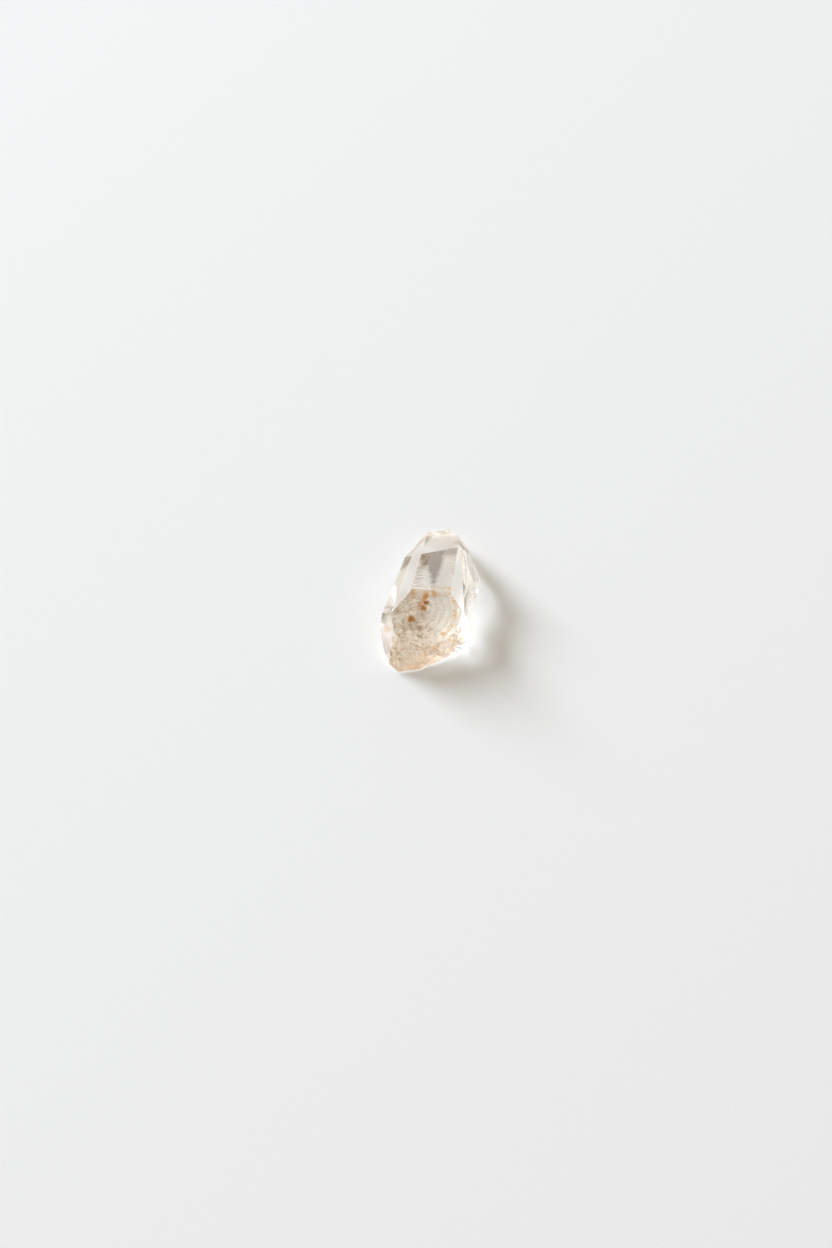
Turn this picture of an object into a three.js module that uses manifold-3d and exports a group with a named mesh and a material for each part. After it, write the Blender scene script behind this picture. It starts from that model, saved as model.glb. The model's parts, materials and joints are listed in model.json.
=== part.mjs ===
// Herkimer diamond: one doubly terminated crystal of clear quartz, lying on its lowest face.
// Millimetres, +Z up. The long axis runs along Y, and the broken, iron-stained end is the near one, at -Y.
// The origin is the middle of the bounding box on the surface that the crystal rests on.

import * as THREE from 'three';
import { mergeVertices } from 'three/addons/utils/BufferGeometryUtils.js';
import Module from 'manifold-3d';

const wasm = await Module();
wasm.setup();

// Driving dimensions
const LENGTH = 13.8;
const WIDTH = 7.2;
const HEIGHT = 4.8;
const MIDDLE = new THREE.Vector3(0, 0, HEIGHT / 2);
const CUTTER = 24; // side of a cutting block, more than the crystal reaches past any face

// Every face is named by where it looks. bearing is the compass direction of its outward normal, from +Y
// towards +X, and rise is the normal's angle above the horizon, both in degrees. reach is how far the face
// lies from MIDDLE.
const LONG_FACES = {
  crest: { bearing: 63, rise: 80, reach: 1.95 },
  leftShoulder: { bearing: -87.5, rise: 51, reach: 2.86 },
  rightShoulder: { bearing: 79.5, rise: 44.5, reach: 2.14 },
  rightRim: { bearing: 66.5, rise: 27, reach: 2.83 },
  rightRimNear: { bearing: 78.5, rise: 20, reach: 2.82 },
  leftFlank: { bearing: -86.5, rise: -2, reach: 3.33 },
  rightFlank: { bearing: 46, rise: -4, reach: 4.34 },
};
const FAR_POINT = {
  farCap: { bearing: -21, rise: 51.5, reach: 3.2 },
  farLeftCap: { bearing: -50, rise: 44, reach: 3.38 },
  farRightCap: { bearing: 39.5, rise: 37.5, reach: 3.62 },
  farLeftFlank: { bearing: -83.5, rise: -10, reach: 3.24 },
  farUnderside: { bearing: -31.5, rise: -36, reach: 5.8 },
};
const NEAR_POINT = {
  contactFace: { bearing: 147.5, rise: 51, reach: 2.33 },
  nearRightFace: { bearing: 143.5, rise: 31, reach: 3.36 },
  nearFace: { bearing: 154.5, rise: 32.5, reach: 3.54 },
  nearLeftFace: { bearing: -144.5, rise: 28.5, reach: 4.86 },
  cornerBevel: { bearing: 173, rise: 49, reach: 3.36 },
  cornerChip: { bearing: -174.5, rise: 34, reach: 4.5 },
  nearRightUnderside: { bearing: 133, rise: -39, reach: 4.92 },
  nearLeftUnderside: { bearing: -122, rise: -50, reach: 4.92 },
  nearLip: { bearing: 161, rise: -53.5, reach: 5.45 },
};
const UNDERSIDE = {
  seat: { bearing: 0, rise: -90, reach: HEIGHT / 2 },
  leftUnderside: { bearing: -88.5, rise: -41, reach: 2.99 },
  rightUnderside: { bearing: 69, rise: -72, reach: 2.64 },
  rimUnderside: { bearing: 70, rise: -59.5, reach: 3.23 },
};
// The right side steps in beside the near end: what lies past both of these faces is missing.
const STEP_FACES = [
  { bearing: 104, rise: -16.5, reach: 2.98 },
  { bearing: 75, rise: -20, reach: 2.77 },
];

// A face's own frame: x level across it, y up its slope, z out of it, with its nearest point to MIDDLE at 0.
function faceFrame({ bearing, rise, reach }) {
  const turn = THREE.MathUtils.degToRad(bearing);
  const lift = THREE.MathUtils.degToRad(rise);
  const across = new THREE.Vector3(-Math.cos(turn), Math.sin(turn), 0);
  const out = new THREE.Vector3(
    Math.cos(lift) * Math.sin(turn),
    Math.cos(lift) * Math.cos(turn),
    Math.sin(lift),
  );
  const up = new THREE.Vector3().crossVectors(out, across);
  const frame = new THREE.Matrix4().makeBasis(across, up, out);
  return frame.setPosition(MIDDLE.clone().addScaledVector(out, reach));
}

// A closed three.js geometry as a solid for cutting.
function solidOf(geometry) {
  geometry.deleteAttribute('normal');
  geometry.deleteAttribute('uv');
  const merged = mergeVertices(geometry);
  return new wasm.Manifold(
    new wasm.Mesh({
      numProp: 3,
      vertProperties: new Float32Array(merged.attributes.position.array),
      triVerts: new Uint32Array(merged.index.array),
    }),
  );
}

// The block of space that lies outside a face.
function blockOutside(face) {
  const block = new THREE.BoxGeometry(CUTTER, CUTTER, CUTTER);
  block.translate(0, 0, CUTTER / 2);
  return solidOf(block.applyMatrix4(faceFrame(face)));
}

// A smooth random height from 0 to 1 that varies over about one pitch. The same place gives the same height.
const SCRAMBLE = [374761393, 668265263, 1442695041, 1274126177];
function latticeHeight(column, row, layer) {
  let mix = Math.imul(column, SCRAMBLE[0]) ^ Math.imul(row, SCRAMBLE[1]);
  mix ^= Math.imul(layer, SCRAMBLE[2]);
  mix = Math.imul(mix ^ (mix >>> 13), SCRAMBLE[3]);
  return ((mix ^ (mix >>> 16)) >>> 0) / 0xffffffff;
}
function grain(x, y, pitch, layer) {
  const column = Math.floor(x / pitch);
  const row = Math.floor(y / pitch);
  const right = THREE.MathUtils.smoothstep(x / pitch - column, 0, 1);
  const above = THREE.MathUtils.smoothstep(y / pitch - row, 0, 1);
  const lower = THREE.MathUtils.lerp(
    latticeHeight(column, row, layer),
    latticeHeight(column + 1, row, layer),
    right,
  );
  const upper = THREE.MathUtils.lerp(
    latticeHeight(column, row + 1, layer),
    latticeHeight(column + 1, row + 1, layer),
    right,
  );
  return THREE.MathUtils.lerp(lower, upper, above);
}

// How deep a round pit is at a place.
function pitDepth(pits, x, y) {
  return pits.reduce((deepest, pit) => {
    const share = Math.hypot(x - pit.x, y - pit.y) / pit.radius;
    return share < 1 ? Math.max(deepest, pit.depth * (1 - share * share)) : deepest;
  }, 0);
}

// A block outside a face whose inner side carries the relief that depthAt gives. turn, in degrees, lays the
// block's grid askew on the face, and the relief is drawn in the block's own x and y.
const RELIEF_BLOCK = 2.4;
function reliefBlock(face, { left, right, bottom, top, columnWidth, rowHeight, turn = 0 }, depthAt) {
  const width = right - left;
  const height = top - bottom;
  const columns = Math.round(width / columnWidth);
  const rows = Math.round(height / rowHeight);
  const block = new THREE.BoxGeometry(width, height, RELIEF_BLOCK, columns, rows, 1);
  block.translate((left + right) / 2, (bottom + top) / 2, RELIEF_BLOCK / 2);
  const place = block.attributes.position;
  for (let i = 0; i < place.count; i += 1) {
    if (place.getZ(i) < RELIEF_BLOCK / 2) {
      place.setZ(i, -depthAt(place.getX(i), place.getY(i)));
    }
  }
  block.rotateZ(THREE.MathUtils.degToRad(turn));
  return solidOf(block.applyMatrix4(faceFrame(face)));
}

// The contact face is where the crystal broke from its pocket: shell-like ribs ring a point near its middle
// on the clean right half, and the stained left half is lumpy, with pits that hold the iron oxide.
const CONTACT_AREA = {
  left: -4.9, right: 2.5, bottom: -4.3, top: 1.5, columnWidth: 0.145, rowHeight: 0.145,
};
const CONTACT_SKIN = 0.02; // least depth that is taken off the face
const CLEAN_HALF = { from: -2.1, to: -1.3, lean: 0.25 };
const RIBS = { x: -1.69, y: -0.85, pitch: 0.62, depth: 0.075 };
const RIB_WANDER = { pitch: 1.1, turns: 0.5 };
const CHATTER = { pitch: 0.24, depth: 0.05 };
const LUMPS = [{ pitch: 0.42, depth: 0.13 }, { pitch: 0.22, depth: 0.06 }];
const CONTACT_PITS = [
  { x: -2.92, y: -1.22, radius: 0.26, depth: 0.2 },
  { x: -1.3, y: 0.2, radius: 0.26, depth: 0.16 },
  { x: -1.52, y: -0.38, radius: 0.36, depth: 0.2 },
  { x: -3.36, y: -0.62, radius: 0.24, depth: 0.12 },
  { x: -3.55, y: -1.6, radius: 0.22, depth: 0.12 },
  { x: -2.72, y: -1.8, radius: 0.34, depth: 0.16 },
  { x: -2.4, y: -2.3, radius: 0.24, depth: 0.12 },
  { x: -3.75, y: -2.35, radius: 0.24, depth: 0.1 },
  { x: -2.62, y: -2.9, radius: 0.2, depth: 0.1 },
];
function contactDepth(x, y) {
  const clean = THREE.MathUtils.smoothstep(x + CLEAN_HALF.lean * y, CLEAN_HALF.from, CLEAN_HALF.to);
  const wander = RIB_WANDER.turns * grain(x, y, RIB_WANDER.pitch, 1);
  const ring = Math.hypot(x - RIBS.x, y - RIBS.y) / RIBS.pitch + wander;
  const ribs = RIBS.depth * (1 - Math.abs(Math.sin(Math.PI * ring)));
  const chatter = CHATTER.depth * grain(x, y, CHATTER.pitch, 2);
  const large = LUMPS[0].depth * grain(x, y, LUMPS[0].pitch, 3);
  const small = LUMPS[1].depth * grain(x, y, LUMPS[1].pitch, 4);
  const relief = THREE.MathUtils.lerp(large + small, ribs + chatter, clean);
  return CONTACT_SKIN + relief + pitDepth(CONTACT_PITS, x, y);
}

// The two near faces below it were etched while the crystal lay in clay: dimples on one, low steps on both.
const NEAR_AREA = {
  left: -4.9, right: -0.3, bottom: -5.3, top: -2.2, columnWidth: 0.24, rowHeight: 0.16,
};
const NEAR_RIGHT_AREA = { ...NEAR_AREA, left: -2.9, right: 2.2, bottom: -4.9, top: -1.5 };
const NEAR_SKIN = 0.015; // least depth that is taken off either face
const DIMPLES = { pitch: 0.5, depth: 0.04 };
const DIMPLE_STEPS = { pitch: 0.9, depth: 0.02, wander: 1.2, wanderPitch: 1.3 };
const ETCHING = { pitch: 0.36, depth: 0.08 };
const ETCH_STEPS = { pitch: 0.6, depth: 0.035, lean: 0.5, wanderPitch: 0.9 };
function dimpleDepth(x, y) {
  const wander = DIMPLE_STEPS.wander * grain(x, y, DIMPLE_STEPS.wanderPitch, 5);
  const level = y / DIMPLE_STEPS.pitch + wander;
  const steps = DIMPLE_STEPS.depth * (level - Math.floor(level));
  return NEAR_SKIN + steps + DIMPLES.depth * grain(x, y, DIMPLES.pitch, 6);
}
function etchDepth(x, y) {
  const level = (y - ETCH_STEPS.lean * x) / ETCH_STEPS.pitch + grain(x, y, ETCH_STEPS.wanderPitch, 7);
  const steps = ETCH_STEPS.depth * (level - Math.floor(level));
  return NEAR_SKIN + steps + ETCHING.depth * grain(x, y, ETCHING.pitch, 8);
}

// A splinter is gone from the corner between the near faces, and left pits and a hackly scar.
const CHIP_AREA = {
  left: -2.3, right: -0.1, bottom: -6.1, top: -2.3, columnWidth: 0.14, rowHeight: 0.16,
};
const CHIP_PITS = [
  { x: -1.53, y: -4.34, radius: 0.26, depth: 0.16 },
  { x: -1.06, y: -4.4, radius: 0.24, depth: 0.16 },
  { x: -1.3, y: -4.95, radius: 0.3, depth: 0.14 },
];
const CHIP_SKIN = 0.01;
const HACKLES = { pitch: 0.33, depth: 0.09 };
function chipDepth(x, y) {
  return CHIP_SKIN + HACKLES.depth * grain(x, y, HACKLES.pitch, 9) + pitDepth(CHIP_PITS, x, y);
}

// Growth striations cross the crest as low ledges, askew to the long axis. They are crisp on its left half
// and fade to the right and towards the near end. No ledge is lower than the least shares given here.
const STRIATION = { pitch: 0.28, depth: 0.035, slant: -11.3 };
const CREST_SKIN = 0.005;
const LEDGE_UNEVEN = { least: 0.35, pitch: 1.3 };
const CRISP_LEFT = { from: -0.9, to: 1.2, least: 0.15 };
const NEAR_FADE = { from: 1.1, to: 2, least: 0.3 };
const LEDGE_SLACK = 0.001; // keeps a grid line that lies on a ledge's foot out of the ledge before it
const CREST_AREA = {
  left: -2.8, right: 3.92, bottom: -3.2, top: 3.8, columnWidth: STRIATION.pitch / 4, rowHeight: 0.5,
  turn: STRIATION.slant,
};
function striationDepth(x, y) {
  const ledge = (x - CREST_AREA.left) / STRIATION.pitch;
  const foot = Math.floor(ledge + LEDGE_SLACK);
  const height = THREE.MathUtils.lerp(LEDGE_UNEVEN.least, 1, grain(foot, y, LEDGE_UNEVEN.pitch, 10));
  const left = THREE.MathUtils.smoothstep(y, CRISP_LEFT.from, CRISP_LEFT.to);
  const nearEnd = THREE.MathUtils.smoothstep(x, NEAR_FADE.from, NEAR_FADE.to);
  const crisp = THREE.MathUtils.lerp(CRISP_LEFT.least, 1, left);
  const fade = THREE.MathUtils.lerp(1, NEAR_FADE.least, nearEnd);
  return CREST_SKIN + STRIATION.depth * (ledge - foot) * height * crisp * fade;
}

// Growth terraces are shallow steps with straight edges, given by their corners in the face's own frame.
const TERRACE_DEPTH = 0.04;
const TERRACES = [
  { face: UNDERSIDE.leftUnderside, corners: [[-3.2, -0.3], [1.5, -0.3], [2.4, 0.95], [-2.2, 0.7]] },
  { face: UNDERSIDE.leftUnderside, corners: [[3.2, -0.25], [5.2, -0.2], [4.5, 1.3], [3.5, 1.1]] },
  { face: UNDERSIDE.rightUnderside, corners: [[-1.5, 0.5], [3.2, 0.5], [3.9, 1.5], [-0.6, 1.05]] },
  { face: LONG_FACES.leftFlank, corners: [[-0.6, -0.1], [2.6, -0.3], [2.2, 0.6], [0.2, 0.7]] },
  { face: FAR_POINT.farLeftFlank, corners: [[-4.3, -0.4], [-1.2, -0.1], [-1.7, 0.9], [-3.4, 0.5]] },
];
function terraceBlock({ face, corners }) {
  const outline = new THREE.Shape(corners.map(([x, y]) => new THREE.Vector2(x, y)));
  const block = new THREE.ExtrudeGeometry(outline, { depth: RELIEF_BLOCK, bevelEnabled: false });
  block.translate(0, 0, -TERRACE_DEPTH);
  return solidOf(block.applyMatrix4(faceFrame(face)));
}

// Knocks have left small shell-shaped nicks on the edges: a ball takes a shallow bite where it meets one.
const BALL_SIDES = 28;
const BALL_RINGS = 20;
const NICKS = [
  { edge: [-3.5, -3.2, 1.79], outward: [-0.9, 0.1, -0.4], radius: 0.9, depth: 0.12 },
  { edge: [-2.95, 1.4, 1.28], outward: [-0.9, 0, -0.45], radius: 1.1, depth: 0.1 },
  { edge: [-2.42, 5.8, 1.05], outward: [-0.8, 0.5, -0.3], radius: 0.8, depth: 0.12 },
  { edge: [1.95, 1.5, 0.38], outward: [0.55, 0.1, -0.8], radius: 1.2, depth: 0.09 },
  { edge: [3.2, 2, 0.85], outward: [0.9, 0.2, -0.4], radius: 0.8, depth: 0.1 },
];
function nickBall({ edge, outward, radius, depth }) {
  const away = new THREE.Vector3(...outward).normalize();
  const centre = new THREE.Vector3(...edge).addScaledVector(away, radius - depth);
  return solidOf(new THREE.SphereGeometry(radius, BALL_SIDES, BALL_RINGS).translate(...centre));
}

function cutCrystal() {
  let solid = solidOf(new THREE.BoxGeometry(WIDTH * 2, LENGTH * 2, HEIGHT * 2));
  for (const faces of [LONG_FACES, FAR_POINT, NEAR_POINT, UNDERSIDE]) {
    for (const face of Object.values(faces)) {
      solid = solid.subtract(blockOutside(face));
    }
  }
  const missing = blockOutside(STEP_FACES[0]).intersect(blockOutside(STEP_FACES[1]));
  return solid.subtract(missing);
}

function roughen(solid) {
  const reliefs = [
    reliefBlock(LONG_FACES.crest, CREST_AREA, striationDepth),
    reliefBlock(NEAR_POINT.contactFace, CONTACT_AREA, contactDepth),
    reliefBlock(NEAR_POINT.nearFace, NEAR_AREA, dimpleDepth),
    reliefBlock(NEAR_POINT.nearRightFace, NEAR_RIGHT_AREA, etchDepth),
    reliefBlock(NEAR_POINT.cornerChip, CHIP_AREA, chipDepth),
    ...TERRACES.map(terraceBlock),
    ...NICKS.map(nickBall),
  ];
  return reliefs.reduce((left, relief) => left.subtract(relief), solid);
}

function flatShaded(solid) {
  const mesh = solid.getMesh();
  const indexed = new THREE.BufferGeometry();
  indexed.setAttribute('position', new THREE.BufferAttribute(mesh.vertProperties, 3));
  indexed.setIndex(new THREE.BufferAttribute(mesh.triVerts, 1));
  const geometry = indexed.toNonIndexed();
  geometry.computeVertexNormals();
  return geometry;
}

function quartz() {
  return new THREE.MeshStandardMaterial({ color: 0xe4dcd0, roughness: 0.08, metalness: 0 });
}

const herkimerDiamond = new THREE.Group();
const crystal = new THREE.Mesh(flatShaded(roughen(cutCrystal())), quartz());
crystal.name = 'crystal';
herkimerDiamond.add(crystal);

export default herkimerDiamond;
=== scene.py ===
"""A herkimer diamond, a clear quartz crystal with a point at each end, lying on a sheet of white paper."""

import json
from math import atan, cos, pi, radians, sin, tan

import bpy
from mathutils import Matrix, Vector

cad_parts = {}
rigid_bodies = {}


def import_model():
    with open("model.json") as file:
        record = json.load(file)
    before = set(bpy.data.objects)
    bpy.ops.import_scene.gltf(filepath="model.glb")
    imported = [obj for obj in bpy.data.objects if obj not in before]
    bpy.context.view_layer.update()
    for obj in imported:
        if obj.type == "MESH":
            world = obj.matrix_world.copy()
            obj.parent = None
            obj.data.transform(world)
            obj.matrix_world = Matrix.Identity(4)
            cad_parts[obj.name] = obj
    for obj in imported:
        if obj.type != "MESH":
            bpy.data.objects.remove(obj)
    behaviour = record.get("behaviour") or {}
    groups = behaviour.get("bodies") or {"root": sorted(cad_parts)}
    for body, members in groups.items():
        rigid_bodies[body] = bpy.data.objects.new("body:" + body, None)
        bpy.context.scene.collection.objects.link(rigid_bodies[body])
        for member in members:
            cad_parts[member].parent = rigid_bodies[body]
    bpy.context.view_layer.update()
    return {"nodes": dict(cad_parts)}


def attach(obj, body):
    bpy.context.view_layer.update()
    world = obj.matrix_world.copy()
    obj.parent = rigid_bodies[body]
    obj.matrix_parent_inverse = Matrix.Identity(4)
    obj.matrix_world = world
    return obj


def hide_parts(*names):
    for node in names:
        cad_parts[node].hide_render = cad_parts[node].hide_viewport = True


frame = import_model()


# ---- The crystal's shape -----------------------------------------------------------------------------------------
# One crystal of clear quartz, grown free in a pocket of dolostone, with a point at each end. Its growth faces are
# flat and bright, and meet in edges worn a hair round. At the near end it broke away from the pocket's wall, and
# left a ribbed and lumpy face with a splinter gone from one corner.
MM = 0.001
EDGE_WEAR = 0.035 * MM
MIDDLE = Vector((0, 0, 2.4)) * MM


# A face's direction: bearing is the compass direction that it looks in, from +Y towards +X, and rise is how far
# it looks upwards, both in degrees. reach is how far it lies from the crystal's middle.
def looking(bearing, rise):
    level = cos(radians(rise))
    return Vector((level * sin(radians(bearing)), level * cos(radians(bearing)), sin(radians(rise))))


CREST = {"out": looking(63, 80), "reach": 1.95 * MM}
FAR_CAP = {"out": looking(-21, 51.5), "reach": 3.2 * MM}
CONTACT = {"out": looking(147.5, 51), "reach": 2.33 * MM}
NEAR_RIGHT = {"out": looking(143.5, 31), "reach": 3.36 * MM}
NEAR = {"out": looking(154.5, 32.5), "reach": 3.54 * MM}
CHIP = {"out": looking(-174.5, 34), "reach": 4.5 * MM}

# The crystal's finishes: its growth faces, its crest, the contact face, and the near faces with their chip.
CLEAR, STRIATED, FRACTURED, ETCHED = range(4)


def above(face, point):
    """How far a point lies outside a face's plane."""
    return (point - MIDDLE).dot(face["out"]) - face["reach"]


def select_only(piece):
    bpy.ops.object.select_all(action="DESELECT")
    piece.select_set(True)
    bpy.context.view_layer.objects.active = piece


def pick(piece, mode, wanted):
    """Opens a piece for editing with the faces or edges selected for which wanted is true, and nothing else."""
    select_only(piece)
    bpy.ops.object.mode_set(mode="EDIT")
    bpy.ops.mesh.select_mode(type=mode)
    bpy.ops.mesh.select_all(action="DESELECT")
    bpy.ops.object.mode_set(mode="OBJECT")
    for part in piece.data.polygons if mode == "FACE" else piece.data.edges:
        part.select = wanted(part)
    bpy.ops.object.mode_set(mode="EDIT")


select_only(frame["nodes"]["crystal"])
bpy.ops.object.duplicate()
crystal = bpy.context.object
crystal.name = crystal.data.name = "quartz_crystal"

# The triangles are joined, and each flat growth face becomes one polygon.
SAME_POINT = MM / 1000
FLAT = radians(0.5)
pick(crystal, "FACE", lambda face: True)
bpy.ops.mesh.remove_doubles(threshold=SAME_POINT)
bpy.ops.mesh.dissolve_limited(angle_limit=FLAT)
bpy.ops.object.mode_set(mode="OBJECT")


# The relief on the broken and etched faces is made of small facets. A facet belongs to a face's relief if it lies
# less than depth below the face's plane, and looks the face's way by more than slope, the cosine between them.
SMALL_FACET = 0.25 * MM ** 2
RELIEFS = (
    {"finish": FRACTURED, "face": CONTACT, "depth": 0.4 * MM, "slope": 0.2},
    {"finish": ETCHED, "face": NEAR, "depth": 0.3 * MM, "slope": 0.4},
    {"finish": ETCHED, "face": NEAR_RIGHT, "depth": 0.3 * MM, "slope": 0.4},
    {"finish": ETCHED, "face": CHIP, "depth": 0.35 * MM, "slope": 0.3},
)
LEDGES = {"finish": STRIATED, "face": CREST, "depth": 0.06 * MM, "slope": 0.9}
SLACK = 0.02 * MM


def belongs(facet, relief):
    """Whether a facet is part of the relief on one of the crystal's faces."""
    out = above(relief["face"], facet.center)
    return -relief["depth"] < out < SLACK and facet.normal.dot(relief["face"]["out"]) > relief["slope"]


def finish_of(facet):
    """Which of the crystal's four finishes a facet has, from its place and its size."""
    if facet.area < SMALL_FACET:
        for relief in RELIEFS:
            if belongs(facet, relief):
                return relief["finish"]
    return STRIATED if belongs(facet, LEDGES) else CLEAR


finishes = [finish_of(face) for face in crystal.data.polygons]
crystal.data.materials.clear()
for finish in (CLEAR, STRIATED, FRACTURED, ETCHED):
    crystal.data.materials.append(None)
for face, finish in zip(crystal.data.polygons, finishes):
    face.material_index = finish

# The ledges on the crest are worn low.
LEDGE_LEFT = 0.4
crest_points = {i for face in crystal.data.polygons if face.material_index == STRIATED for i in face.vertices}
edge_points = {i for face in crystal.data.polygons if face.material_index != STRIATED for i in face.vertices}
for i in crest_points - edge_points:
    point = crystal.data.vertices[i]
    point.co -= CREST["out"] * above(CREST, point.co) * (1 - LEDGE_LEFT)

# The long, sharp edges between the big faces are worn round.
BIG_FACE = 0.45 * MM ** 2
LONG_EDGE = 0.3 * MM
SHARP_EDGE = radians(12)
facing = {}
for face in crystal.data.polygons:
    for key in face.edge_keys:
        facing.setdefault(key, []).append(face)


def is_worn_edge(edge):
    sides = facing.get(edge.key, [])
    if len(sides) != 2 or min(side.area for side in sides) < BIG_FACE:
        return False
    a, b = (crystal.data.vertices[i].co for i in edge.vertices)
    return (a - b).length > LONG_EDGE and sides[0].normal.angle(sides[1].normal) > SHARP_EDGE


pick(crystal, "EDGE", is_worn_edge)
bpy.ops.mesh.bevel(offset=EDGE_WEAR, segments=2, affect="EDGES", clamp_overlap=True)
bpy.ops.object.mode_set(mode="OBJECT")

# The broken and the etched faces get a finer mesh, softened between their corners.
pick(crystal, "FACE", lambda face: face.material_index in (FRACTURED, ETCHED))
bpy.ops.mesh.subdivide(number_cuts=2)
bpy.ops.mesh.select_less()
bpy.ops.mesh.vertices_smooth(factor=0.5, repeat=3)
bpy.ops.object.mode_set(mode="OBJECT")

# The slivers that are left where worn edges meet are cleared away.
pick(crystal, "FACE", lambda face: True)
bpy.ops.mesh.dissolve_degenerate(threshold=SAME_POINT)
bpy.ops.object.mode_set(mode="OBJECT")

# Each face's finish is kept as an attribute, red, green or blue, because one material fills the whole crystal.
select_only(crystal)
bpy.ops.object.shade_flat()
finish_marks = crystal.data.color_attributes.new("finish", "FLOAT_COLOR", "CORNER")
for face in crystal.data.polygons:
    face.use_smooth = face.material_index in (FRACTURED, ETCHED)
    for corner in face.loop_indices:
        finish_marks.data[corner].color = [float(face.material_index == finish)
                                           for finish in (STRIATED, FRACTURED, ETCHED, CLEAR)]
    face.material_index = 0
crystal.data.materials.clear()

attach(crystal, "root")
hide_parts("crystal")


# ---- Quartz: the growth faces ------------------------------------------------------------------------------------
# Rock crystal: clear silica, with natural growth faces that are bright as glass but for faint growth lines across
# the long axis and a breath of dulling where it lay in clay. The right side and the near left are rubbed frosty, a
# little iron stains the near left, a warm tint lies over the far point and the left, and a painted shade darkens
# the
# far point: a taupe tint that stands in for the dark room seen through it.
def srgb(code):
    parts = [int(code[i:i + 2], 16) / 255 for i in (1, 3, 5)]
    return tuple(c / 12.92 if c <= 0.04045 else ((c + 0.055) / 1.055) ** 2.4 for c in parts) + (1.0,)


def add(tree, kind, inputs=None, output=0, **settings):
    """Adds a node with its settings, values and links, and gives one of its outputs."""
    made = tree.nodes.new(kind)
    for name, value in settings.items():
        setattr(made, name, value)
    for socket, value in (inputs or {}).items():
        if isinstance(value, bpy.types.NodeSocket):
            tree.links.new(value, made.inputs[socket])
        else:
            made.inputs[socket].default_value = value
    return made.outputs[output] if made.outputs else None


def cleared(material):
    material.use_nodes = True
    material.node_tree.nodes.clear()
    return material.node_tree


def on_face(tree, face):
    """A face's own place in millimetres: x level across it, y up its slope, z out of it."""
    across = Vector((0, 0, 1)).cross(face["out"]).normalized()
    turn = Matrix((across, face["out"].cross(across), face["out"])).transposed()
    return add(tree, "ShaderNodeMapping", {
        "Vector": add(tree, "ShaderNodeTexCoord", output="Object"),
        "Location": MIDDLE + face["out"] * face["reach"],
        "Rotation": turn.to_euler(),
        "Scale": (MM, MM, MM),
    }, vector_type="TEXTURE")


def in_mm(tree):
    """The crystal's own place in millimetres."""
    return add(tree, "ShaderNodeMapping", {
        "Vector": add(tree, "ShaderNodeTexCoord", output="Object"),
        "Scale": (MM, MM, MM),
    }, vector_type="TEXTURE")


def marks(tree, place, spots):
    """How far a place is inside any of some soft round spots. A spot is its middle, radius and strength."""
    most = 0.0
    for middle, radius, strength in spots:
        away = add(tree, "ShaderNodeVectorMath", {0: place, 1: middle}, "Value", operation="DISTANCE")
        spot = add(tree, "ShaderNodeMapRange", {"Value": away, "From Min": radius, "From Max": radius * 0.35,
                                                "To Min": 0.0, "To Max": strength},
                   interpolation_type="SMOOTHSTEP")
        most = add(tree, "ShaderNodeMath", {0: most, 1: spot}, operation="MAXIMUM")
    return most


CLEAR_QUARTZ = srgb("#fbf8f3")
WARM_QUARTZ = srgb("#d3c6b8")
FAR_SHADE_TAUPE = srgb("#8f7f70")
THIN_STAIN = srgb("#b98a5c")
GROWTH_LINE = 0.22
GROWTH_LINE_DEPTH = 0.006
rock_crystal = bpy.data.materials.new("rock_crystal")
tree = cleared(rock_crystal)
drawn_out = add(tree, "ShaderNodeMapping", {"Vector": in_mm(tree), "Rotation": (0, 0, radians(-16)),
                                            "Scale": (0.12 / GROWTH_LINE, 1 / GROWTH_LINE, 0.35 / GROWTH_LINE)})
lines = add(tree, "ShaderNodeTexNoise", {"Vector": drawn_out, "Scale": 1.0, "Detail": 2.0, "Roughness": 0.6})
dulling = add(tree, "ShaderNodeTexNoise", {"Vector": in_mm(tree), "Scale": 0.7, "Detail": 3.0})
stain = marks(tree, in_mm(tree), [((-2.96, -4.58, 2.55), 0.45, 0.8), ((-2.4, -5.8, 1.3), 0.3, 0.5)])
# Painted shade: a taupe tint on the far point stands in for the dark room seen through the crystal there.
painted_far_shade = marks(tree, in_mm(tree), [
    ((0.75, 4.65, 3.1), 0.75, 0.9), ((1.3, 4.4, 2.7), 0.5, 0.9), ((-1.9, 4.7, 2.5), 1.1, 0.3),
])
warm = marks(tree, in_mm(tree), [
    ((-0.8, 4.4, 3.0), 2.6, 0.9), ((-2.5, -3.0, 4.0), 1.9, 0.8), ((-2.5, 1.9, 3.9), 1.9, 0.6),
    ((-3.0, -5.0, 2.0), 1.7, 0.6),
])
milky = marks(tree, in_mm(tree), [((-3.0, -5.2, 2.0), 2.0, 0.6)])
frosty = marks(tree, in_mm(tree), [
    ((3.1, 1.4, 1.7), 1.9, 1.0), ((3.1, -0.6, 1.9), 1.9, 1.0), ((-3.0, -4.8, 2.1), 1.7, 0.6),
])
dull = add(tree, "ShaderNodeMapRange", {"Value": dulling, "From Min": 0.35, "From Max": 0.65, "To Min": 0.03,
                                        "To Max": 0.09})
tint = add(tree, "ShaderNodeMix", {0: warm, 6: CLEAR_QUARTZ, 7: WARM_QUARTZ}, 2, data_type="RGBA")
tint = add(tree, "ShaderNodeMix", {0: stain, 6: tint, 7: THIN_STAIN}, 2, data_type="RGBA")
growth = {
    "tint": add(tree, "ShaderNodeMix", {0: painted_far_shade, 6: tint, 7: FAR_SHADE_TAUPE}, 2, data_type="RGBA"),
    "through": add(tree, "ShaderNodeMath", {0: milky, 1: -0.45, 2: 0.99}, operation="MULTIPLY_ADD"),
    "roughness": add(tree, "ShaderNodeMath", {0: frosty, 1: 0.15, 2: dull}, operation="MULTIPLY_ADD"),
    "height": add(tree, "ShaderNodeMath", {0: lines, 1: GROWTH_LINE_DEPTH}, operation="MULTIPLY"),
}
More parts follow.
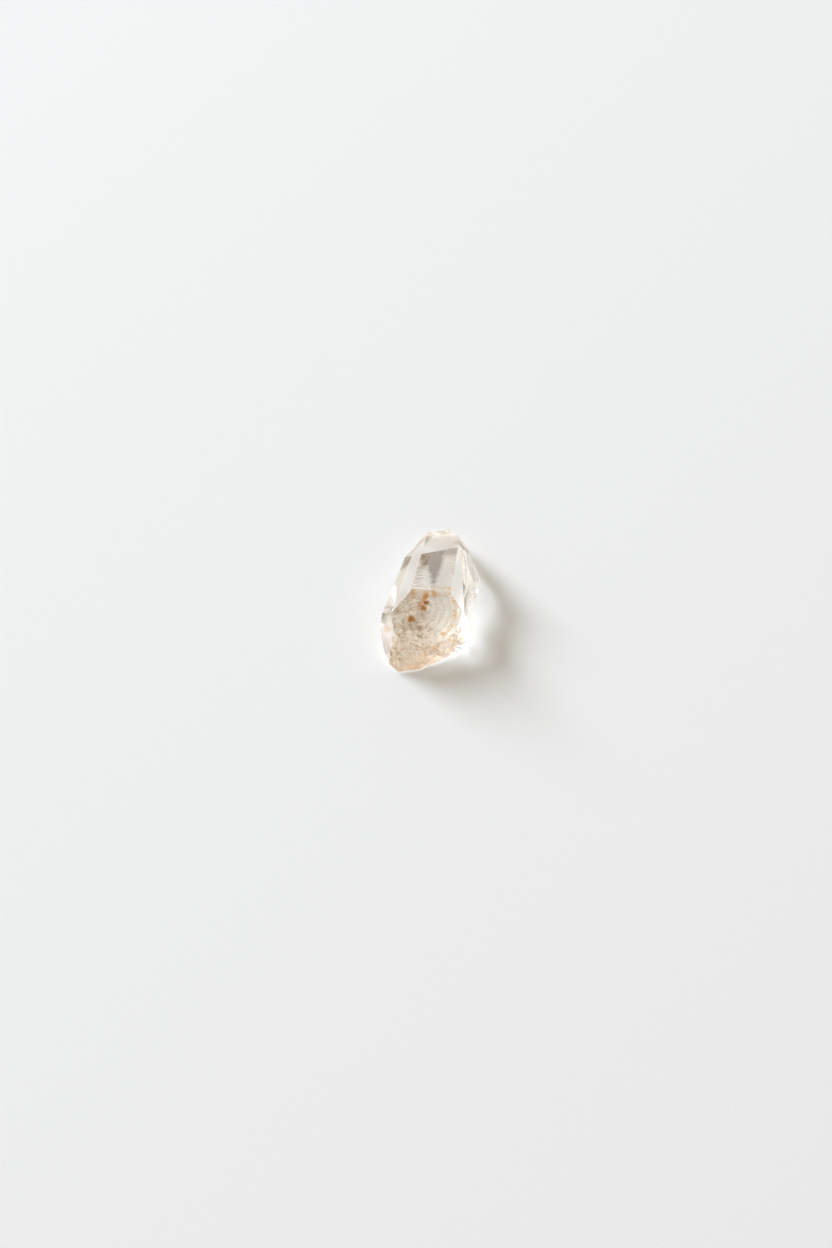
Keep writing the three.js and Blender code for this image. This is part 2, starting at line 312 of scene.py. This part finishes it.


# ---- Quartz: the striated crest ----------------------------------------------------------------------------------
# The same rock crystal where it grew in fits: fine ledges cross the crest, frosted in their corners at its near
# left and faintly at its right, and a painted shade darkens it along its far edge: a taupe tint that stands in for
# shaded paper seen through the crest.
LEDGE_QUARTZ = srgb("#ece3d8")
LEDGE_FROST = srgb("#faf6f0")
# Painted shade: this taupe stands in for the shaded paper seen through the crest's far edge.
CREST_SHADE_TAUPE = srgb("#74655a")
CREST_SHADE_STRENGTH = 0.9
LEDGE_PITCH = 0.28
LEDGE_ROUGHNESS_DEPTH = 0.012
STRIATION_SLANT = radians(-11.3)
place = on_face(tree, CREST)
along = add(tree, "ShaderNodeVectorMath", {0: place, 1: (cos(STRIATION_SLANT), sin(STRIATION_SLANT), 0)}, "Value",
            operation="DOT_PRODUCT")
drawn_out = add(tree, "ShaderNodeMapping", {"Vector": place, "Rotation": (0, 0, -STRIATION_SLANT),
                                            "Scale": (1 / LEDGE_PITCH * 1.6, 0.7, 1)})
streaks = add(tree, "ShaderNodeTexNoise", {"Vector": drawn_out, "Scale": 1.0, "Detail": 3.0, "Roughness": 0.65})
xyz = add(tree, "ShaderNodeSeparateXYZ", {0: place}, "X").node.outputs
frost_near = add(tree, "ShaderNodeMapRange", {"Value": xyz["X"], "From Min": 1.7, "From Max": 0.7},
                 interpolation_type="SMOOTHSTEP")
frost_left = add(tree, "ShaderNodeMapRange", {"Value": xyz["Y"], "From Min": 0.1, "From Max": 1.2},
                 interpolation_type="SMOOTHSTEP")
frost_right = add(tree, "ShaderNodeMapRange", {"Value": xyz["Y"], "From Min": -0.2, "From Max": -0.9,
                                               "To Min": 0.0, "To Max": 0.4}, interpolation_type="SMOOTHSTEP")
frost = add(tree, "ShaderNodeMath", {0: frost_near, 1: frost_left}, operation="MULTIPLY")
frost = add(tree, "ShaderNodeMath", {0: frost, 1: frost_right}, operation="MAXIMUM")
white_lines = add(tree, "ShaderNodeMapRange", {"Value": streaks, "From Min": 0.3, "From Max": 0.6, "To Min": 0.3},
                  interpolation_type="SMOOTHSTEP")
frost = add(tree, "ShaderNodeMath", {0: frost, 1: white_lines}, operation="MULTIPLY")

# The painted shade lies left of a slanting line, and reaches from the far edge down to the frosted ledges.
uneven = add(tree, "ShaderNodeTexNoise", {"Vector": drawn_out, "Scale": 0.6, "Detail": 2.0}, normalize=False)
right_line = add(tree, "ShaderNodeVectorMath", {0: place, 1: (0.48, 1, 0)}, "Value", operation="DOT_PRODUCT")
right_line = add(tree, "ShaderNodeMath", {0: uneven, 1: 0.15, 2: right_line}, operation="MULTIPLY_ADD")
inside_right = add(tree, "ShaderNodeMapRange", {"Value": right_line, "From Min": 0.05, "From Max": 0.55},
                   interpolation_type="SMOOTHSTEP")
left_line = add(tree, "ShaderNodeMapRange", {"Value": xyz["X"], "From Min": 1.1, "From Max": 2.0, "To Min": 0.85,
                                             "To Max": 1.45}, interpolation_type="SMOOTHSTEP")
left_line = add(tree, "ShaderNodeMath", {0: left_line, 1: xyz["Y"]}, operation="SUBTRACT")
left_line = add(tree, "ShaderNodeMath", {0: uneven, 1: 0.3, 2: left_line}, operation="MULTIPLY_ADD")
inside_left = add(tree, "ShaderNodeMapRange", {"Value": left_line, "From Min": -0.3, "From Max": 0.35},
                  interpolation_type="SMOOTHSTEP")
fading = add(tree, "ShaderNodeMapRange", {"Value": xyz["X"], "From Min": -1.6, "From Max": 0.3},
             interpolation_type="SMOOTHSTEP")
crest_painted_shade = add(tree, "ShaderNodeMath", {0: inside_right, 1: inside_left}, operation="MULTIPLY")
crest_painted_shade = add(tree, "ShaderNodeMath", {0: crest_painted_shade, 1: fading}, operation="MULTIPLY")
depth = add(tree, "ShaderNodeSeparateXYZ", {0: on_face(tree, FAR_CAP)}, "Z")
strip = add(tree, "ShaderNodeMath", {0: uneven, 1: 0.12, 2: depth}, operation="MULTIPLY_ADD")
strip = add(tree, "ShaderNodeMapRange", {"Value": strip, "From Min": -0.6, "From Max": -0.25, "To Min": 0.0,
                                         "To Max": 0.75}, interpolation_type="SMOOTHSTEP")
crest_painted_shade = add(tree, "ShaderNodeMath", {0: crest_painted_shade, 1: strip}, operation="MAXIMUM")
crest_painted_shade = add(tree, "ShaderNodeMath", {0: crest_painted_shade, 1: CREST_SHADE_STRENGTH}, operation="MULTIPLY")

tint = add(tree, "ShaderNodeMix", {0: frost, 6: LEDGE_QUARTZ, 7: LEDGE_FROST}, 2, data_type="RGBA")
crest = {
    "tint": add(tree, "ShaderNodeMix", {0: crest_painted_shade, 6: tint, 7: CREST_SHADE_TAUPE}, 2, data_type="RGBA"),
    "through": add(tree, "ShaderNodeMapRange", {"Value": frost, "To Min": 0.96, "To Max": 0.3}),
    "roughness": add(tree, "ShaderNodeMapRange", {"Value": frost, "To Min": 0.08, "To Max": 0.4}),
    "height": add(tree, "ShaderNodeMath", {0: streaks, 1: LEDGE_ROUGHNESS_DEPTH}, operation="MULTIPLY"),
}


# ---- Quartz: the contact face ------------------------------------------------------------------------------------
# The break that once held the crystal to its pocket: a shell-like fracture, frosted white and ringed by arcs on
# its right half, granular and soaked with brown iron oxide on its left, with rust in its pits and along its edges.
STAINED_PALE, STAINED_DARK = srgb("#f6ead9"), srgb("#bd9c75")
FROSTED_PALE, FROSTED_DARK = srgb("#f3eadd"), srgb("#dccbb4")
FURROW_DIRT = srgb("#d2bc9b")
RUST_LINE = srgb("#d39346")
BROWN_OXIDE = srgb("#8f7048")
RUST = srgb("#d88f32")
DEEP_RUST = srgb("#b06a1c")
BREAK_DEPTH = 0.03
place = on_face(tree, CONTACT)
flat = add(tree, "ShaderNodeVectorMath", {0: place, 1: (1, 1, 0)}, operation="MULTIPLY")
wobble = add(tree, "ShaderNodeTexNoise", {"Vector": place, "Scale": 1.8, "Detail": 3.0}, "Color", normalize=False)
flat = add(tree, "ShaderNodeVectorMath", {0: wobble, 1: (0.12, 0.12, 0), 2: flat}, operation="MULTIPLY_ADD")
grains = add(tree, "ShaderNodeTexNoise", {"Vector": place, "Scale": 4.5, "Detail": 3.0, "Roughness": 0.7})
blotches = add(tree, "ShaderNodeTexNoise", {"Vector": place, "Scale": 1.3, "Detail": 3.0})
leaning = add(tree, "ShaderNodeVectorMath", {0: flat, 1: (1, 0.25, 0)}, "Value", operation="DOT_PRODUCT")
clean = add(tree, "ShaderNodeMapRange", {"Value": leaning, "From Min": -2.5, "From Max": -1.3},
            interpolation_type="SMOOTHSTEP")
grainy = add(tree, "ShaderNodeMapRange", {"Value": grains, "From Min": 0.36, "From Max": 0.64},
             interpolation_type="SMOOTHSTEP")
speckle = add(tree, "ShaderNodeMapRange", {"Value": grains, "From Min": 0.42, "From Max": 0.55, "To Min": 0.1},
              interpolation_type="SMOOTHSTEP")

# Arcs of the shell-like fracture, ringed about the point where it started.
RING_MIDDLE = (-1.69, -0.85, 0)
RING_PITCH = 0.55
away = add(tree, "ShaderNodeVectorMath", {0: flat, 1: RING_MIDDLE}, "Value", operation="DISTANCE")
turns = add(tree, "ShaderNodeMath", {0: away, 1: pi / RING_PITCH}, operation="MULTIPLY")
ring = add(tree, "ShaderNodeMath", {0: turns}, operation="SINE")
ring = add(tree, "ShaderNodeMath", {0: ring}, operation="ABSOLUTE")
furrow = add(tree, "ShaderNodeMapRange", {"Value": ring, "From Min": 0.4, "From Max": 0.05},
             interpolation_type="SMOOTHSTEP")
furrow = add(tree, "ShaderNodeMath", {0: furrow, 1: clean}, operation="MULTIPLY")

# Rust: a thin line round the outer arc, lines along the edges with the crest and the near faces, all broken up by
# the grain, and the pits.
OUTER_ARC = 2.53
RUSTY_EDGES = ((CREST, 0.3), (NEAR_RIGHT, 0.11), (NEAR, 0.08))
outer = add(tree, "ShaderNodeMath", {0: away, 1: OUTER_ARC}, operation="SUBTRACT")
outer = add(tree, "ShaderNodeMath", {0: outer}, operation="ABSOLUTE")
outer = add(tree, "ShaderNodeMapRange", {"Value": outer, "From Min": 0.22, "From Max": 0.06},
            interpolation_type="SMOOTHSTEP")
outer = add(tree, "ShaderNodeMath", {0: outer, 1: clean}, operation="MULTIPLY")
edges = outer
for neighbour, width in RUSTY_EDGES:
    depth = add(tree, "ShaderNodeSeparateXYZ", {0: on_face(tree, neighbour)}, "Z")
    edge = add(tree, "ShaderNodeMapRange", {"Value": depth, "From Min": -width, "From Max": -width * 0.3},
               interpolation_type="SMOOTHSTEP")
    edges = add(tree, "ShaderNodeMath", {0: edges, 1: edge}, operation="MAXIMUM")
broken_up = add(tree, "ShaderNodeMapRange", {"Value": blotches, "From Min": 0.36, "From Max": 0.54},
                interpolation_type="SMOOTHSTEP")
edges = add(tree, "ShaderNodeMath", {0: edges, 1: broken_up}, operation="MULTIPLY")
edges = add(tree, "ShaderNodeMath", {0: edges, 1: speckle}, operation="MULTIPLY")
brown = marks(tree, flat, [
    ((-3.59, -1.31, 0), 0.34, 0.6), ((-3.06, -1.79, 0), 0.38, 0.8), ((-2.45, -2.17, 0), 0.4, 0.8),
    ((-3.72, -2.23, 0), 0.26, 0.7), ((-2.57, -2.85, 0), 0.26, 0.8), ((-2.81, -0.4, 0), 0.26, 0.5),
    ((-1.95, -1.2, 0), 0.4, 0.5), ((-4.0, -0.3, 0), 0.45, 0.4), ((-2.7, -1.6, 0), 0.75, 0.5),
    ((-3.5, -1.7, 0), 0.6, 0.35),
])
rust = marks(tree, flat, [
    ((-1.33, 0.24, 0), 0.38, 1.0), ((-1.9, -0.3, 0), 0.36, 0.8), ((-1.6, -0.05, 0), 0.34, 0.8),
    ((-2.32, 0.5, 0), 0.3, 0.5), ((-0.49, 0.2, 0), 0.3, 0.6), ((-2.9, -1.25, 0), 0.44, 0.6),
])
deep_rust = marks(tree, flat, [
    ((-2.9, -1.25, 0), 0.35, 1.0), ((-1.37, -0.28, 0), 0.32, 1.0), ((-1.68, -0.63, 0), 0.33, 1.0),
])

stained = add(tree, "ShaderNodeMix", {0: grainy, 6: STAINED_PALE, 7: STAINED_DARK}, 2, data_type="RGBA")
frosted = add(tree, "ShaderNodeMix", {0: grainy, 6: FROSTED_PALE, 7: FROSTED_DARK}, 2, data_type="RGBA")
frosted = add(tree, "ShaderNodeMix", {0: furrow, 6: frosted, 7: FURROW_DIRT}, 2, data_type="RGBA")
tint = add(tree, "ShaderNodeMix", {0: clean, 6: stained, 7: frosted}, 2, data_type="RGBA")
tint = add(tree, "ShaderNodeMix", {0: edges, 6: tint, 7: RUST_LINE}, 2, data_type="RGBA")
tint = add(tree, "ShaderNodeMix", {0: brown, 6: tint, 7: BROWN_OXIDE}, 2, data_type="RGBA")
tint = add(tree, "ShaderNodeMix", {0: rust, 6: tint, 7: RUST}, 2, data_type="RGBA")
spots = add(tree, "ShaderNodeMath", {0: rust, 1: deep_rust}, operation="MAXIMUM")
solid = add(tree, "ShaderNodeMath", {0: spots, 1: -0.6, 2: 1.0}, operation="MULTIPLY_ADD")
through = add(tree, "ShaderNodeMapRange", {"Value": clean, "To Min": 0.6, "To Max": 0.85})
chatter = add(tree, "ShaderNodeMath", {0: ring, 1: clean, 2: grains}, operation="MULTIPLY_ADD")
contact = {
    "tint": add(tree, "ShaderNodeMix", {0: deep_rust, 6: tint, 7: DEEP_RUST}, 2, data_type="RGBA"),
    "through": add(tree, "ShaderNodeMath", {0: through, 1: solid}, operation="MULTIPLY"),
    "roughness": add(tree, "ShaderNodeMapRange", {"Value": grains, "From Min": 0.3, "From Max": 0.7,
                                                  "To Min": 0.25, "To Max": 0.5}),
    "height": add(tree, "ShaderNodeMath", {0: chatter, 1: BREAK_DEPTH}, operation="MULTIPLY"),
}


# ---- Quartz: the etched near faces -------------------------------------------------------------------------------
# Two near faces that were etched in clay and soaked with iron: smooth tan on the left one, peach with small rust
# spots on the right one, rust along their edges, and dark pits and white chips where the corner splintered, the
# chips white broken quartz with a painted highlight on them. The iron didn't reach the corner at the far right,
# which is clear.
TAN_PALE, TAN_DARK = srgb("#e0caac"), srgb("#c3a37b")
PEACH_PALE, PEACH_DARK = srgb("#f6e6d3"), srgb("#d4a479")
EDGE_RUST = srgb("#c98c4c")
EDGE_RUST_STRENGTH = 0.8
PIT_BROWN = srgb("#805c33")
CHIP_HIGHLIGHT_WHITE = srgb("#ffffff")
ETCH_DEPTH = 0.024
place = in_mm(tree)
grains = add(tree, "ShaderNodeTexNoise", {"Vector": place, "Scale": 5.0, "Detail": 4.0, "Roughness": 0.65})
blotches = add(tree, "ShaderNodeTexNoise", {"Vector": place, "Scale": 2.2, "Detail": 3.0})
grainy = add(tree, "ShaderNodeMapRange", {"Value": grains, "From Min": 0.38, "From Max": 0.62},
             interpolation_type="SMOOTHSTEP")
right_depth = add(tree, "ShaderNodeSeparateXYZ", {0: on_face(tree, NEAR_RIGHT)}, "Z")
on_right = add(tree, "ShaderNodeMapRange", {"Value": right_depth, "From Min": -0.22, "From Max": -0.1},
               interpolation_type="SMOOTHSTEP")
tan_face = add(tree, "ShaderNodeMix", {0: grainy, 6: TAN_PALE, 7: TAN_DARK}, 2, data_type="RGBA")
peach_face = add(tree, "ShaderNodeMix", {0: grainy, 6: PEACH_PALE, 7: PEACH_DARK}, 2, data_type="RGBA")
tint = add(tree, "ShaderNodeMix", {0: on_right, 6: tan_face, 7: peach_face}, 2, data_type="RGBA")
contact_depth = add(tree, "ShaderNodeSeparateXYZ", {0: on_face(tree, CONTACT)}, "Z")
edge = add(tree, "ShaderNodeMapRange", {"Value": contact_depth, "From Min": -0.15, "From Max": -0.04},
           interpolation_type="SMOOTHSTEP")
height = add(tree, "ShaderNodeSeparateXYZ", {0: place}, "Z")
foot = add(tree, "ShaderNodeMapRange", {"Value": height, "From Min": 0.7, "From Max": 0.3},
           interpolation_type="SMOOTHSTEP")
edge = add(tree, "ShaderNodeMath", {0: edge, 1: foot}, operation="MAXIMUM")
broken_up = add(tree, "ShaderNodeMapRange", {"Value": blotches, "From Min": 0.4, "From Max": 0.56},
                interpolation_type="SMOOTHSTEP")
edge = add(tree, "ShaderNodeMath", {0: edge, 1: broken_up}, operation="MULTIPLY")
edge = add(tree, "ShaderNodeMath", {0: edge, 1: grainy}, operation="MULTIPLY")
edge = add(tree, "ShaderNodeMath", {0: edge, 1: EDGE_RUST_STRENGTH}, operation="MULTIPLY")
brown = marks(tree, place, [
    ((1.45, -4.71, 1.19), 0.22, 0.6), ((1.96, -4.53, 0.92), 0.2, 0.6), ((1.31, -5.07, 0.84), 0.22, 0.5),
    ((2.25, -4.72, 0.4), 0.2, 0.5), ((-0.79, -5.94, 1.1), 0.2, 0.4), ((0.0, -6.1, 0.36), 0.25, 0.4),
    ((-2.12, -6.05, 1.21), 0.22, 0.9), ((-1.69, -5.97, 1.39), 0.24, 0.9), ((-1.93, -5.72, 1.73), 0.22, 0.6),
    ((-1.45, -6.23, 1.05), 0.24, 0.8),
])
tint = add(tree, "ShaderNodeMix", {0: edge, 6: tint, 7: EDGE_RUST}, 2, data_type="RGBA")
tint = add(tree, "ShaderNodeMix", {0: brown, 6: tint, 7: PIT_BROWN}, 2, data_type="RGBA")
# Painted highlight: white spots on the splintered chips, partly pale broken quartz and partly a painted glint.
chip_highlight = marks(tree, place, [((-1.34, -6.52, 0.64), 0.2, 1.0), ((-1.15, -6.17, 1.19), 0.16, 0.9)])
tint = add(tree, "ShaderNodeMix", {0: chip_highlight, 6: tint, 7: CHIP_HIGHLIGHT_WHITE}, 2, data_type="RGBA")
through = add(tree, "ShaderNodeMapRange", {"Value": chip_highlight, "To Min": 0.65, "To Max": 0.2})
rough = add(tree, "ShaderNodeMapRange", {"Value": grains, "From Min": 0.3, "From Max": 0.7, "To Min": 0.2,
                                         "To Max": 0.45})

# The clear corner lies past a ragged line across the faces' right end.
CORNER_WAY = (0.86, -0.5, 0)
towards = add(tree, "ShaderNodeVectorMath", {0: place, 1: CORNER_WAY}, "Value", operation="DOT_PRODUCT")
towards = add(tree, "ShaderNodeMath", {0: blotches, 1: 0.5, 2: towards}, operation="MULTIPLY_ADD")
clean = add(tree, "ShaderNodeMapRange", {"Value": towards, "From Min": 4.4, "From Max": 4.6},
            interpolation_type="SMOOTHSTEP")
near = {
    "tint": add(tree, "ShaderNodeMix", {0: clean, 6: tint, 7: CLEAR_QUARTZ}, 2, data_type="RGBA"),
    "through": add(tree, "ShaderNodeMix", {0: clean, 2: through, 3: 0.96}),
    "roughness": add(tree, "ShaderNodeMix", {0: clean, 2: rough, 3: 0.12}),
    "height": add(tree, "ShaderNodeMath", {0: grains, 1: ETCH_DEPTH}, operation="MULTIPLY"),
}


# ---- Quartz: the four finishes together --------------------------------------------------------------------------
# One body of quartz has one material, which turns from one finish to the next at the faces' edges. It is
# see-through, bends light as quartz does, and takes a little of it on the way through.
QUARTZ_IOR = 1.544
HAZE = srgb("#e8d8c4")
HAZE_DENSITY = 8.0
finish = add(tree, "ShaderNodeAttribute", output="Color", attribute_name="finish")
share = add(tree, "ShaderNodeSeparateColor", {0: finish}).node.outputs
quartz = growth
for over, colour in ((crest, "Red"), (contact, "Green"), (near, "Blue")):
    quartz = {
        "tint": add(tree, "ShaderNodeMix", {0: share[colour], 6: quartz["tint"], 7: over["tint"]}, 2,
                    data_type="RGBA"),
        **{value: add(tree, "ShaderNodeMix", {0: share[colour], 2: quartz[value], 3: over[value]})
           for value in ("through", "roughness", "height")},
    }
glass = add(tree, "ShaderNodeBsdfPrincipled", {
    "Base Color": quartz["tint"],
    "Roughness": quartz["roughness"],
    "IOR": QUARTZ_IOR,
    "Transmission Weight": quartz["through"],
    "Normal": add(tree, "ShaderNodeBump", {"Height": quartz["height"], "Distance": MM}),
})

# Window light is let straight through the crystal to the paper, not bent, so the crystal's shadow and the bright
# patch in it are painted: how much of the light lands where it was headed is set by the face that it leaves by.
# Most does from the low part of the underside, less towards the near point, and most of all from the right of the
# seat, a painted pool of light. The upper faces gather it, but for the contact face, which throws much of it aside,
# and at its foot nearly all. The upright faces throw all of it aside, but for the foot of the near faces.
BY_UNDERSIDE = 0.76
BY_SEAT_LEFT, BY_SEAT_RIGHT = 0.3, 0.6
BY_TOP = 1.2
BY_CONTACT_FOOT, BY_CONTACT_TOP = 0.2, 0.55
BY_UPRIGHT, BY_NEAR_FOOT = 0.02, 0.2
STEEP_LOSS = 0.5
SLANTING_LOSS = 0.75
normal = add(tree, "ShaderNodeNewGeometry", output="True Normal")
inside = add(tree, "ShaderNodeNewGeometry", output="Backfacing")
rise = add(tree, "ShaderNodeVectorMath", {0: normal, 1: (0, 0, 1)}, "Value", operation="DOT_PRODUCT")
place = add(tree, "ShaderNodeSeparateXYZ", {0: in_mm(tree)}, "X").node.outputs
low = add(tree, "ShaderNodeMapRange", {"Value": place["Z"], "From Min": 1.15, "From Max": 0.85},
          interpolation_type="SMOOTHSTEP")
below = add(tree, "ShaderNodeMapRange", {"Value": rise, "From Min": -0.2, "From Max": -0.26, "To Min": 0.0,
                                         "To Max": BY_UNDERSIDE}, interpolation_type="SMOOTHSTEP")
below = add(tree, "ShaderNodeMath", {0: below, 1: low}, operation="MULTIPLY")
steep = add(tree, "ShaderNodeMapRange", {"Value": rise, "From Min": -0.5, "From Max": -0.4},
            interpolation_type="SMOOTHSTEP")
near_end = add(tree, "ShaderNodeMapRange", {"Value": place["Y"], "From Min": -1.5, "From Max": -3.4, "To Min": 0.0,
                                            "To Max": -STEEP_LOSS}, interpolation_type="SMOOTHSTEP")
dimmed = add(tree, "ShaderNodeMath", {0: steep, 1: near_end, 2: 1.0}, operation="MULTIPLY_ADD")
below = add(tree, "ShaderNodeMath", {0: below, 1: dimmed}, operation="MULTIPLY")
slanting = add(tree, "ShaderNodeMapRange", {"Value": rise, "From Min": -0.75, "From Max": -0.66},
               interpolation_type="SMOOTHSTEP")
tip = add(tree, "ShaderNodeMapRange", {"Value": place["Y"], "From Min": -3.2, "From Max": -5.7, "To Min": 0.0,
                                       "To Max": -SLANTING_LOSS})
dimmed = add(tree, "ShaderNodeMath", {0: slanting, 1: tip, 2: 1.0}, operation="MULTIPLY_ADD")
below = add(tree, "ShaderNodeMath", {0: below, 1: dimmed}, operation="MULTIPLY")
above_all = add(tree, "ShaderNodeMapRange", {"Value": rise, "From Min": 0.58, "From Max": 0.68, "To Min": 0.0,
                                             "To Max": BY_TOP}, interpolation_type="SMOOTHSTEP")
foot = add(tree, "ShaderNodeMapRange", {
    "Value": place["Z"], "From Min": 2.4, "From Max": 3.4, "To Min": BY_CONTACT_FOOT, "To Max": BY_CONTACT_TOP,
}, interpolation_type="SMOOTHSTEP")
broken = add(tree, "ShaderNodeMix", {0: share["Green"], 2: 1.0, 3: foot})
above_all = add(tree, "ShaderNodeMath", {0: above_all, 1: broken}, operation="MULTIPLY")
upright = add(tree, "ShaderNodeMath", {0: share["Blue"], 1: low}, operation="MULTIPLY")
upright = add(tree, "ShaderNodeMapRange", {"Value": upright, "To Min": BY_UPRIGHT, "To Max": BY_NEAR_FOOT})
# Painted pool of light: extra window light passes through the seat, rising towards its right.
seat = add(tree, "ShaderNodeMapRange", {"Value": rise, "From Min": -0.97, "From Max": -1.0})
right = add(tree, "ShaderNodeMapRange", {
    "Value": place["X"], "From Min": 0.2, "From Max": 0.9, "To Min": BY_SEAT_LEFT, "To Max": BY_SEAT_RIGHT,
}, interpolation_type="SMOOTHSTEP")
seat = add(tree, "ShaderNodeMath", {0: seat, 1: right}, operation="MULTIPLY")
# The painted share of window light that the crystal lets through to the paper, face by face.
painted_lamp_share = add(tree, "ShaderNodeMath", {0: below, 1: above_all}, operation="MAXIMUM")
painted_lamp_share = add(tree, "ShaderNodeMath", {0: painted_lamp_share, 1: upright}, operation="MAXIMUM")
painted_lamp_share = add(tree, "ShaderNodeMath", {0: painted_lamp_share, 1: seat}, operation="ADD")
painted_lamp_share = add(tree, "ShaderNodeMath", {0: painted_lamp_share, 1: inside}, operation="MAXIMUM")
shadow = add(tree, "ShaderNodeLightPath", output="Is Shadow Ray")
surface = add(tree, "ShaderNodeMixShader", {0: shadow, 1: glass,
                                            2: add(tree, "ShaderNodeBsdfTransparent", {"Color": painted_lamp_share})})
haze = add(tree, "ShaderNodeVolumeAbsorption", {"Color": HAZE, "Density": HAZE_DENSITY})
add(tree, "ShaderNodeOutputMaterial", {"Surface": surface, "Volume": haze})
crystal.data.materials.append(rock_crystal)


# ---- The paper ---------------------------------------------------------------------------------------------------
# A sheet of white cartridge paper, matt, with a fine tooth. It lies a hair below the crystal.
SHEET_SIZE = 3
SHEET_BELOW = 0.02 * MM
TOOTH = 0.3
TOOTH_DEPTH = 0.025 * MM
PULP_DARK, PULP_PALE = srgb("#f1f1f0"), srgb("#f3f3f2")
bpy.ops.object.select_all(action="DESELECT")
bpy.ops.mesh.primitive_plane_add(size=SHEET_SIZE, location=(0, 0, -SHEET_BELOW))
paper = bpy.context.object
paper.name = "paper"
cartridge = bpy.data.materials.new("cartridge_paper")
tree = cleared(cartridge)
place = in_mm(tree)
tooth = add(tree, "ShaderNodeTexNoise", {"Vector": place, "Scale": 1 / TOOTH, "Detail": 4.0, "Roughness": 0.7})
relief = add(tree, "ShaderNodeBump", {"Height": tooth, "Strength": 0.5, "Distance": TOOTH_DEPTH})
white = add(tree, "ShaderNodeMix", {0: tooth, 6: PULP_DARK, 7: PULP_PALE}, 2, data_type="RGBA")
sheet = add(tree, "ShaderNodeBsdfPrincipled", {"Base Color": white, "Roughness": 0.9, "Specular IOR Level": 0.2,
                                               "Normal": relief})
add(tree, "ShaderNodeOutputMaterial", {"Surface": sheet})
paper.data.materials.append(cartridge)


# ---- Light -------------------------------------------------------------------------------------------------------
# One soft window, low on the far left, in a pale room whose walls are brighter than its ceiling, and brightest
# round the window.
WINDOW_SIDE = looking(-63, 21.5)
WINDOW_AWAY = 1.6
WINDOW_SPREAD = radians(12)
WINDOW_WIDTH = 2 * WINDOW_AWAY * tan(WINDOW_SPREAD)
WINDOW_GLOW = 32.3
DAYLIGHT = (0.89, 1.0, 1.14)
WALL_PAINT = (0.82, 0.79, 0.73, 1)
CEILING_PAINT = (0.36, 0.305, 0.235, 1)
LIT_PAINT = (1.05, 1.04, 1.02, 1)
LIT_WALL = looking(-85, 22)
bpy.ops.object.light_add(type="AREA", location=WINDOW_SIDE * WINDOW_AWAY)
window = bpy.context.object
window.name = "window"
window.rotation_euler = WINDOW_SIDE.to_track_quat("Z", "Y").to_euler()
window.data.shape = "DISK"
window.data.size = WINDOW_WIDTH
window.data.color = DAYLIGHT
window.visible_camera = False
window.data.energy = WINDOW_GLOW * pi * pi * (WINDOW_WIDTH / 2) ** 2

room = bpy.data.worlds.new("room")
bpy.context.scene.world = room
tree = cleared(room)
facing_out = add(tree, "ShaderNodeTexCoord", output="Generated")
up = add(tree, "ShaderNodeSeparateXYZ", {0: facing_out}, "Z")
ceiling = add(tree, "ShaderNodeMapRange", {"Value": up, "From Min": 0.3, "From Max": 0.6},
              interpolation_type="SMOOTHSTEP")
paint = add(tree, "ShaderNodeMix", {0: ceiling, 6: WALL_PAINT, 7: CEILING_PAINT}, 2, data_type="RGBA")
towards = add(tree, "ShaderNodeVectorMath", {0: facing_out, 1: LIT_WALL}, "Value", operation="DOT_PRODUCT")
window_wall = add(tree, "ShaderNodeMapRange", {"Value": towards, "From Min": 0.8, "From Max": 0.97},
                  interpolation_type="SMOOTHSTEP")
paint = add(tree, "ShaderNodeMix", {0: window_wall, 6: paint, 7: LIT_PAINT}, 2, data_type="RGBA")
walls = add(tree, "ShaderNodeBackground", {"Color": paint, "Strength": 1.0})
add(tree, "ShaderNodeOutputWorld", {"Surface": walls})


# ---- Camera ------------------------------------------------------------------------------------------------------
# A close view from the near side, from high above the paper.
LENS = 85
SENSOR = 36
VIEW_HEIGHT = 103.6 * MM
AIM = Vector((-1.17, -2.05, 0)) * MM
EYE_BEARING = radians(15.7)
EYE_RISE = radians(60)
NEAREST, FARTHEST = 0.01, 10
back = Vector((sin(EYE_BEARING) * cos(EYE_RISE), -cos(EYE_BEARING) * cos(EYE_RISE), sin(EYE_RISE)))
away = VIEW_HEIGHT / 2 / tan(atan(SENSOR / 2 / LENS))
bpy.ops.object.camera_add(location=AIM + back * away)
camera = bpy.context.object
camera.rotation_euler = back.to_track_quat("Z", "Y").to_euler()
camera.data.lens = LENS
camera.data.sensor_width = SENSOR
camera.data.clip_start = NEAREST
camera.data.clip_end = FARTHEST

# Light goes back and forth inside the crystal many times, so its paths are long.
CRYSTAL_BOUNCES = 32
PAPER_BOUNCES = 6
BRIGHTEST_BOUNCE = 4.0
scene = bpy.context.scene
scene.camera = camera
scene.view_settings.view_transform = "Standard"
scene.cycles.use_denoising = True
scene.cycles.max_bounces = CRYSTAL_BOUNCES
scene.cycles.transmission_bounces = CRYSTAL_BOUNCES
scene.cycles.glossy_bounces = CRYSTAL_BOUNCES
scene.cycles.diffuse_bounces = PAPER_BOUNCES
scene.cycles.blur_glossy = 0.0
scene.cycles.sample_clamp_indirect = BRIGHTEST_BOUNCE
